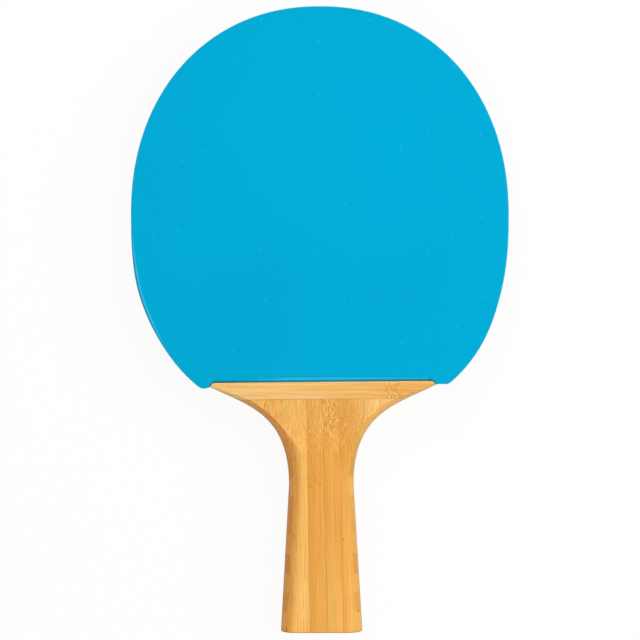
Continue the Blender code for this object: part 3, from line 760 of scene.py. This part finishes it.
SHEET_SHIFT = -0.0003
SHEET_CREEP = {"front": 0.00085, "back": 0.0}
RIGHT_CREEP_DEPTHS = (0.42, 0.90)
LEFT_CREEP_DEPTHS = (0.40, 0.78)
LEFT_EAR_DROP = {"front": 0.0030, "back": 0.0010}
RIGHT_EAR_DROP = {"front": 0.0014, "back": 0.0010}
OUTLINE_STEP = 0.00035
EAR_ROUND = 0.0010
LEFT_FOOT_RISE = 0.0004
CORNER_SOFTNESS = 0.00030
CORNER_POINTS = 12
SPONGE_FOOT = BLADE_FACE + GLUE_GAP
PIMPLE_FOOT = 0.0058
SKIN_FOOT = 0.0068
PLAYING_FACE = 0.0074
LIP = 0.00045
INNER_ROW = 0.0004
LEAST_ROOM = 0.15
ROLL = 0.00090
NOTCH_LEAN = 0.00018
KNIFE_LEAN = 0.00022
KNIFE_ROLL = 0.00015
PIMPLE_SPACING = 0.0022
PIMPLE_RADIUS = 0.00085
PIMPLE_FLARE = 1.12
PIMPLE_SIDES = 10
PIMPLE_INSET = 0.00002
PIMPLE_SINK = 0.0001
PIMPLED_RIM = 0.0060


def arc_side(lowest_y, grown):
    """The right half of the head's outline, from lowest_y up to the top, at equal turns."""
    foot = ((WIDEST_Y - lowest_y) / (HEAD_FOOT_REACH + grown)) ** (HEAD_FOOT_FULLNESS / 2)
    turn = np.linspace(-math.asin(foot), math.pi / 2, CURVE_POINTS)
    above = turn >= 0
    reach = np.where(above, HEAD_TOP_REACH, HEAD_FOOT_REACH) + grown
    power = 2 / np.where(above, HEAD_TOP_FULLNESS, HEAD_FOOT_FULLNESS)
    x = (HEAD_WIDTH / 2 + grown) * np.maximum(np.cos(turn), 0.0) ** power
    return np.stack([x, WIDEST_Y + np.sign(turn) * reach * np.abs(np.sin(turn)) ** power], -1)


def ear_side(lowest_y):
    """The right half of a sheet's edge, from the ear's foot up, its corner a quadratic curve."""
    arc = arc_side(lowest_y, SHEET_OVERHANG)
    above = arc[arc[:, 1] > lowest_y + EAR_ROUND]
    t = np.linspace(0.0, 1.0, CORNER_POINTS)[:-1, None]
    foot = arc[0] - (EAR_ROUND, 0.0)
    return np.concatenate([(1 - t) ** 2 * foot + 2 * t * (1 - t) * arc[0] + t**2 * above[0], above])


def notch_side(drop, hand):
    """One end of the notch: from the ear's foot up a round corner to the edge, which lies askew."""
    radius = BAND_CORNER + SHEET_CLEARANCE
    turn = np.linspace(math.asin(max(0.0, 1 - drop / radius)), math.pi / 2, CORNER_POINTS)
    x = hand * (corner_centre + radius * np.cos(turn)) + EAR_SHIFT - SHEET_SHIFT
    y = SHEET_FOOT_Y - radius + radius * np.sin(turn)
    y[0] = SHEET_FOOT_Y - drop
    return np.stack([x, y + CROSS_LEAN * x * (1 - (SHEET_FOOT_Y - y) / drop)], -1)


def sheet_outline(face):
    """A sheet's closed outline, at even steps, with its corners softened, and its outward normals.

    Below the widest line the sheet has crept sideways, by t^2 (3 - 2t) of the way down it goes.
    """
    left_drop, right_drop = LEFT_EAR_DROP[face], RIGHT_EAR_DROP[face]
    right = ear_side(SHEET_FOOT_Y - right_drop)
    left = ear_side(SHEET_FOOT_Y - left_drop)[::-1] * (-1.0, 1.0)
    arc = np.concatenate([right, left])
    depth = (WIDEST_Y - arc[:, 1]) / (WIDEST_Y - SHEET_FOOT_Y)
    t = np.append(np.interp(depth[:len(right)], RIGHT_CREEP_DEPTHS, (0.0, 1.0)),
                  np.interp(depth[len(right):], LEFT_CREEP_DEPTHS, (0.0, 1.0)))
    arc[:, 0] += SHEET_CREEP[face] * t * t * (3 - 2 * t)
    notch = [notch_side(left_drop - LEFT_FOOT_RISE, -1), notch_side(right_drop, 1)[::-1]]
    drawn = np.concatenate([arc, *notch, arc[:1]])
    drawn[:, 0] += SHEET_SHIFT
    run = np.append(0.0, np.cumsum(np.linalg.norm(np.diff(drawn, axis=0), axis=1)))
    count = round(run[-1] / OUTLINE_STEP)
    places = np.arange(count) * run[-1] / count
    even = np.interp(places, run, drawn[:, 0]) + 1j * np.interp(places, run, drawn[:, 1])
    waves = 2 * math.pi * np.fft.fftfreq(count, run[-1] / count)
    even = np.fft.ifft(np.fft.fft(even) * np.exp(-((waves * CORNER_SOFTNESS) ** 2) / 2))
    along = np.roll(even, -1) - np.roll(even, 1)
    normal = -1j * along / np.abs(along)
    return (np.stack([v.real, v.imag], -1) for v in (even, normal))


def edge_shares(outline, outward, face):
    """Where a sheet's edge is rolled over at the notch, where it gets painted shade, where the knife
    leant.
    """
    x, y = outline.T
    notch = np.interp(-outward[:, 1], (0.90, 0.99), (0.0, 1.0)) * (np.abs(x) < notch_reach)
    turn = np.degrees(np.arctan2(y - WIDEST_Y, x)) % 360
    knife = np.interp(turn, (184, 197, 212, 223), (0.0, 1.0, 1.0, 0.0)) * (face == "front")
    rolled = np.interp(x, (-0.036, -0.014, 0.010, 0.036), (0.0, 1.0, 0.9, 0.65))
    return notch * (np.abs(x) < corner_centre) * rolled, notch, knife


def room_inside(outward):
    """How much of the lip fits inside the outline: all of it, or less at a tight corner.

    The room is seven tenths of the corner's radius, step / turn, over the width of the lip.
    """
    way = outward[:, 0] + 1j * outward[:, 1]
    turned = np.maximum(np.angle(np.roll(way, -1) * np.conj(np.roll(way, 1))), 1e-6)
    room = np.clip(0.7 * 2 * OUTLINE_STEP / turned / (LIP + INNER_ROW), LEAST_ROOM, 1.0)
    nearby = range(-5, 6)
    room = np.min([np.roll(room, step) for step in nearby], axis=0)
    return np.mean([np.roll(room, step) for step in nearby], axis=0)


def slab(outline, outward, profile, shares=()):
    """A slab round a sheet's outline: rows of points drawn in and up as the profile says.

    For each share along the edge, the rows are drawn in further by the profile's next column.
    """
    drawn_in, height, *further = np.array(profile).T
    inset = drawn_in[:, None] + sum(more[:, None] * share for more, share in zip(further, shares))
    plan = outline - (inset * room_inside(outward))[..., None] * outward
    rows = np.concatenate([plan, np.broadcast_to(height[:, None, None], (*plan.shape[:2], 1))], -1)
    return rows.reshape(-1, 3), ring_faces(len(profile), len(outline), clockwise=True)


def pimples(outline, outward):
    """The pimples near the rim: short prisms in close-packed rows, cut off flush at the outline."""
    row_step = PIMPLE_SPACING * math.sqrt(3) / 2
    rows, columns = np.mgrid[-36:50, -36:37]
    centres = np.stack([(columns + rows % 2 / 2) * PIMPLE_SPACING, rows * row_step + WIDEST_Y], -1)
    centres = centres.reshape(-1, 2)
    coarse, coarse_out = outline[::3], outward[::3]
    apart = np.linalg.norm(centres[:, None] - coarse[None], axis=2)
    nearest = apart.argmin(1)
    inside = -((centres - coarse[nearest]) * coarse_out[nearest]).sum(1)
    centres = centres[(inside > 0.0) & (apart.min(1) < PIMPLED_RIM)]
    turn = np.arange(PIMPLE_SIDES) * 2 * math.pi / PIMPLE_SIDES
    circle = np.stack([np.cos(turn), np.sin(turn)], -1)
    radii = np.array([1.0, PIMPLE_FLARE])[:, None, None] * PIMPLE_RADIUS
    plan = centres[:, None, None] + radii * circle
    nearest = np.linalg.norm(plan[..., None, :] - outline, axis=-1).argmin(-1)
    beyond = ((plan - outline[nearest]) * outward[nearest]).sum(-1) + PIMPLE_INSET
    plan = plan - np.maximum(beyond, 0.0)[..., None] * outward[nearest]
    heights = np.array([PIMPLE_FOOT, SKIN_FOOT + PIMPLE_SINK])[:, None, None]
    points = np.concatenate([plan, np.broadcast_to(heights, (*plan.shape[:3], 1))], -1)
    here = np.arange(PIMPLE_SIDES)
    after = np.roll(here, -1)
    sides = np.stack([here, after, PIMPLE_SIDES + after, PIMPLE_SIDES + here], -1)
    start = np.arange(len(centres))[:, None, None] * 2 * PIMPLE_SIDES
    walls = (start + sides).reshape(-1, 4).tolist()
    ends = np.stack([here[::-1], PIMPLE_SIDES + here])
    return points.reshape(-1, 3), walls + (start + ends).reshape(-1, PIMPLE_SIDES).tolist()


def times(colour, share):
    """A colour made paler or darker."""
    return tuple(share * c for c in colour)


def rubber(name, colour, worn_and_highlight_colour, shine):
    """Smooth rubber: one deep colour with faint drifts and rubbed marks, dust, a painted highlight
    and painted shade along the rim, and a fine skin.
    """
    g = Graph(name)
    place = g.node("TexCoord", {}, "Object")
    drift = g.noise(place, (0.060, 0.060, 0.060), 1.0)
    rubbed_and_highlight = g.spread(g.noise(place, (0.011, 0.016, 0.02), 3.0), 0.62, 0.85)
    base = g.mix(g.spread(drift, 0.25, 0.75), times(colour, 0.98), times(colour, 1.02))
    base = g.mix(g.math("MULTIPLY", rubbed_and_highlight, 0.02), base, worn_and_highlight_colour)
    cells = g.node("TexVoronoi", {"Vector": g.scaled(place, (0.011, 0.011, 0.011)), "Scale": 1.0},
                   "Distance", voronoi_dimensions="2D")
    specks = cells.node.outputs["Color"]
    chosen = g.spread(g.node("SeparateColor", {0: specks}), 0.78, 0.80)
    speck = g.math("MULTIPLY", g.spread(cells, 0.014, 0.024, 1.0, 0.0), chosen)
    dusty = tuple(min(1.0, 1.6 * c + 0.04) for c in colour)
    base = g.mix(g.math("MULTIPLY", speck, 0.8), base, dusty)
    rim = g.node("SeparateXYZ", {0: g.attribute("rim")})
    # Along the rim: a painted highlight on the lip, then painted shade on its outer rows
    base = g.mix(g.math("MULTIPLY", rim, 0.40), base, worn_and_highlight_colour)
    base = g.mix(rim.node.outputs[1], base, (0.40, 0.68, 0.66), "MULTIPLY")
    skin = g.noise(place, (0.00022, 0.00022, 0.00022), 2.0)
    swell = g.noise(place, (0.012, 0.012, 0.012), 2.0)
    fine = g.node("Bump", {"Strength": 0.35, "Distance": 0.000012, "Height": skin})
    bump = g.node("Bump", {"Strength": 0.5, "Distance": 0.00008, "Height": swell, "Normal": fine})
    roughness = g.sum((drift, 0.06), (rubbed_and_highlight, 0.08), (rim, -0.08))
    return g.finish(Base_Color=base, Roughness=g.math("ADD", roughness, 0.42), Normal=bump,
                    Specular_IOR_Level=shine)


def sponge(name, colour):
    """Fine-celled sponge: open cells a tenth of a millimetre wide, with painted shade inside them."""
    g = Graph(name)
    place = g.node("TexCoord", {}, "Object")
    small = g.spread(g.cells(g.scaled(place, (0.00016,) * 3)), 0.15, 0.45, 1.0, 0.0)
    large = g.spread(g.cells(g.scaled(place, (0.00042,) * 3)), 0.10, 0.30, 1.0, 0.0)
    pores = g.math("MAXIMUM", small, large)
    drift = g.noise(place, (0.012, 0.012, 0.004), 2.0)
    base = g.mix(drift, times(colour, 0.85), times(colour, 1.15))
    # Painted shade inside the open cells
    base = g.mix(g.math("MULTIPLY", pores, 0.55), base, times(colour, 0.35))
    bump = g.node("Bump", {"Strength": 0.8, "Distance": 0.00006, "Height": g.sum((pores, -1.0))})
    rough = g.sum((pores, 0.08), (drift, 0.06))
    return g.finish(Base_Color=base, Roughness=g.math("ADD", rough, 0.80), Normal=bump,
                    Specular_IOR_Level=0.25)


# Each row of a profile: drawn in, height, and drawn in further where rolled and where leant
arc = np.linspace(0.0, math.pi / 2, 7)
lip = [(0.00002 + LIP * (1 - math.cos(a)), PLAYING_FACE - LIP + LIP * math.sin(a),
        ROLL * (1 - math.cos(a)) - NOTCH_LEAN * (1 - math.sin(a)),
        KNIFE_ROLL * (1 - math.cos(a)) - KNIFE_LEAN * (1 - math.sin(a))) for a in arc]
skin_profile = [(0.00006, SKIN_FOOT, -NOTCH_LEAN, -KNIFE_LEAN),
                (0.00002, SKIN_FOOT + 0.00004, -NOTCH_LEAN, -KNIFE_LEAN), *lip,
                (LIP + 0.0003, PLAYING_FACE, ROLL, KNIFE_ROLL),
                (LIP + 0.00035, PLAYING_FACE, ROLL + 0.0004, KNIFE_ROLL + 0.0004)]
sponge_profile = [(0.00008, SPONGE_FOOT), (0.00002, SPONGE_FOOT + 0.0001), (0.00005, 0.0047),
                  (0.00002, PIMPLE_FOOT - 0.0001), (0.00006, PIMPLE_FOOT)]
sponge_blue = sponge("sponge", (0.06, 0.22, 0.42))
# The second colour serves the rubbed marks and the painted highlight on the rim
sheets = {
    "front": ("rubber_blue", (0.0, 0.394, 0.650), (0.065, 0.54, 0.78), 0.02),
    "back": ("rubber_black", (0.012, 0.012, 0.013), (0.05, 0.05, 0.055), 0.3),
}
for face, (slot, *finish) in sheets.items():
    outline, outward = sheet_outline(face)
    points, faces = slab(outline, outward, sponge_profile)
    finished(f"{face}_sponge_cells", placed(points, face), faces, {}, sponge_blue,
             [f"{face}_sponge"])
    roll, shaded_edge, leant = edge_shares(outline, outward, face)
    points, faces = slab(outline, outward, skin_profile, (roll, leant))
    stubs, stub_faces = pimples(outline, outward)
    # How much painted highlight and painted shade each row gets: on the rolled edge, the flat one
    # and the leant one
    rubbed_and_highlight = np.array([0.0, 0.0, 0.0, 0.0, 0.0, 0.3, 0.9, 1.3, 1.3, 0.0, 0.0])[:, None]
    painted_shade_roll = np.array([0.8, 0.8, 0.8, 0.8, 0.7, 0.4, 0.0, 0.0, 0.0, 0.5, 0.0])[:, None]
    painted_shade_flat = np.array([0.8, 0.8, 0.8, 0.8, 0.8, 0.8, 0.8, 0.75, 0.7, 0.5, 0.0])[:, None]
    highlight_leant = np.array([0.0, 0.0, 0.0, 0.0, 0.0, 0.0, 0.3, 1.1, 1.8, 1.6, 0.0])[:, None]
    painted_shade_leant = np.array([1.0, 1.0, 1.0, 1.0, 1.0, 0.9, 0.6, 0.1, 0.0, 0.0, 0.0])[:, None]
    painted_shade = np.maximum((painted_shade_flat + (painted_shade_roll - painted_shade_flat) * roll) * shaded_edge, painted_shade_leant * leant)
    light = np.maximum(rubbed_and_highlight * (0.1 + 0.9 * roll), highlight_leant * leant)
    rim = np.stack([light, painted_shade, 0 * painted_shade], -1).reshape(-1, 3)
    marks = {"rim": np.concatenate([rim, np.zeros_like(stubs)])}
    faces = faces + [[corner + len(points) for corner in f] for f in stub_faces]
    points = np.concatenate([points, stubs])
    finished(f"{face}_topsheet_rubber", placed(points, face), faces, marks,
             rubber(slot, *finish), [f"{face}_topsheet"])


# The stand-in for the studio: a white table top and four large soft lamps, the strong ones on
# the right and beyond the head, the weak ones beyond the butt and on the left. The camera
# looks straight down.

PHOTO_FIELD = 0.2560
CAMERA_LENS = 197.0
CAMERA_SENSOR = 36.0
CAMERA_PLACE = (-0.00035, -0.00029)
CAMERA_ROLL = math.radians(0.155)
FLOOR_HALF = 4.0
FLOOR_DROP = 0.00002
TABLE_WHITE = 0.94
TABLE_GLOW = 0.93
WORLD_LIGHT = 0.23


def lamp(name, place, size, share):
    """A square lamp, aimed at the racket, that gives it this share of the plain level of light."""
    data = bpy.data.lights.new(name, "AREA")
    data.size = size
    place = Vector(place)
    data.energy = share * math.pi**2 * place.length**3 / place.z
    light = bpy.data.objects.new(name, data)
    light.location = place
    light.rotation_mode = "QUATERNION"
    light.rotation_quaternion = place.to_track_quat("Z", "Y")
    light.visible_camera = False
    bpy.context.scene.collection.objects.link(light)


lamp("key_lamp", (0.95, 0.15, 0.85), 0.9, 0.33)
lamp("upper_lamp", (0.0, 0.95, 1.00), 1.0, 0.36)
lamp("lower_lamp", (0.0, -0.95, 1.00), 1.0, 0.17)
lamp("left_lamp", (-0.75, -0.20, 1.00), 0.9, 0.07)

world = bpy.data.worlds.new("studio")
world.use_nodes = True
bpy.context.scene.world = world
backdrop = world.node_tree.nodes["Background"]
seen = world.node_tree.nodes.new("ShaderNodeLightPath").outputs["Is Camera Ray"]
level = world.node_tree.nodes.new("ShaderNodeMapRange")
world.node_tree.links.new(seen, level.inputs["Value"])
level.inputs["To Min"].default_value = WORLD_LIGHT
world.node_tree.links.new(level.outputs[0], backdrop.inputs["Strength"])
backdrop.inputs["Color"].default_value = (1.0, 1.0, 1.0, 1.0)

floor_mesh = bpy.data.meshes.new("floor")
corners = np.array([(-1, -1, 0), (1, -1, 0), (1, 1, 0), (-1, 1, 0)]) * FLOOR_HALF
floor_mesh.from_pydata(corners - (0.0, 0.0, FLOOR_DROP), [], [(0, 1, 2, 3)])
floor = bpy.data.objects.new("floor", floor_mesh)
bpy.context.scene.collection.objects.link(floor)
table = Graph("white_table")
table.finish(Base_Color=(*[TABLE_WHITE] * 3, 1.0), Roughness=0.9, Specular_IOR_Level=0.0)
# From above the table is seen as an almost even white, with only a trace of the shadow
share = table.math("MULTIPLY", table.node("LightPath", {}, "Is Camera Ray"), TABLE_GLOW)
white = table.node("Emission", {})
mixed = table.node("MixShader", {0: share, 1: table.shader.outputs[0], 2: white})
table.tree.links.new(mixed, table.tree.nodes["Material Output"].inputs["Surface"])
floor_mesh.materials.append(table.material)

camera_data = bpy.data.cameras.new("camera")
camera_data.lens = CAMERA_LENS
camera_data.sensor_width = CAMERA_SENSOR
camera = bpy.data.objects.new("camera", camera_data)
distance = PHOTO_FIELD * CAMERA_LENS / CAMERA_SENSOR
camera.location = (*CAMERA_PLACE, MIDDLE_Z + PLAYING_FACE + distance)
camera.rotation_euler = (0.0, 0.0, -CAMERA_ROLL)
bpy.context.scene.collection.objects.link(camera)
bpy.context.scene.camera = camera
bpy.context.scene.view_settings.view_transform = "Standard"
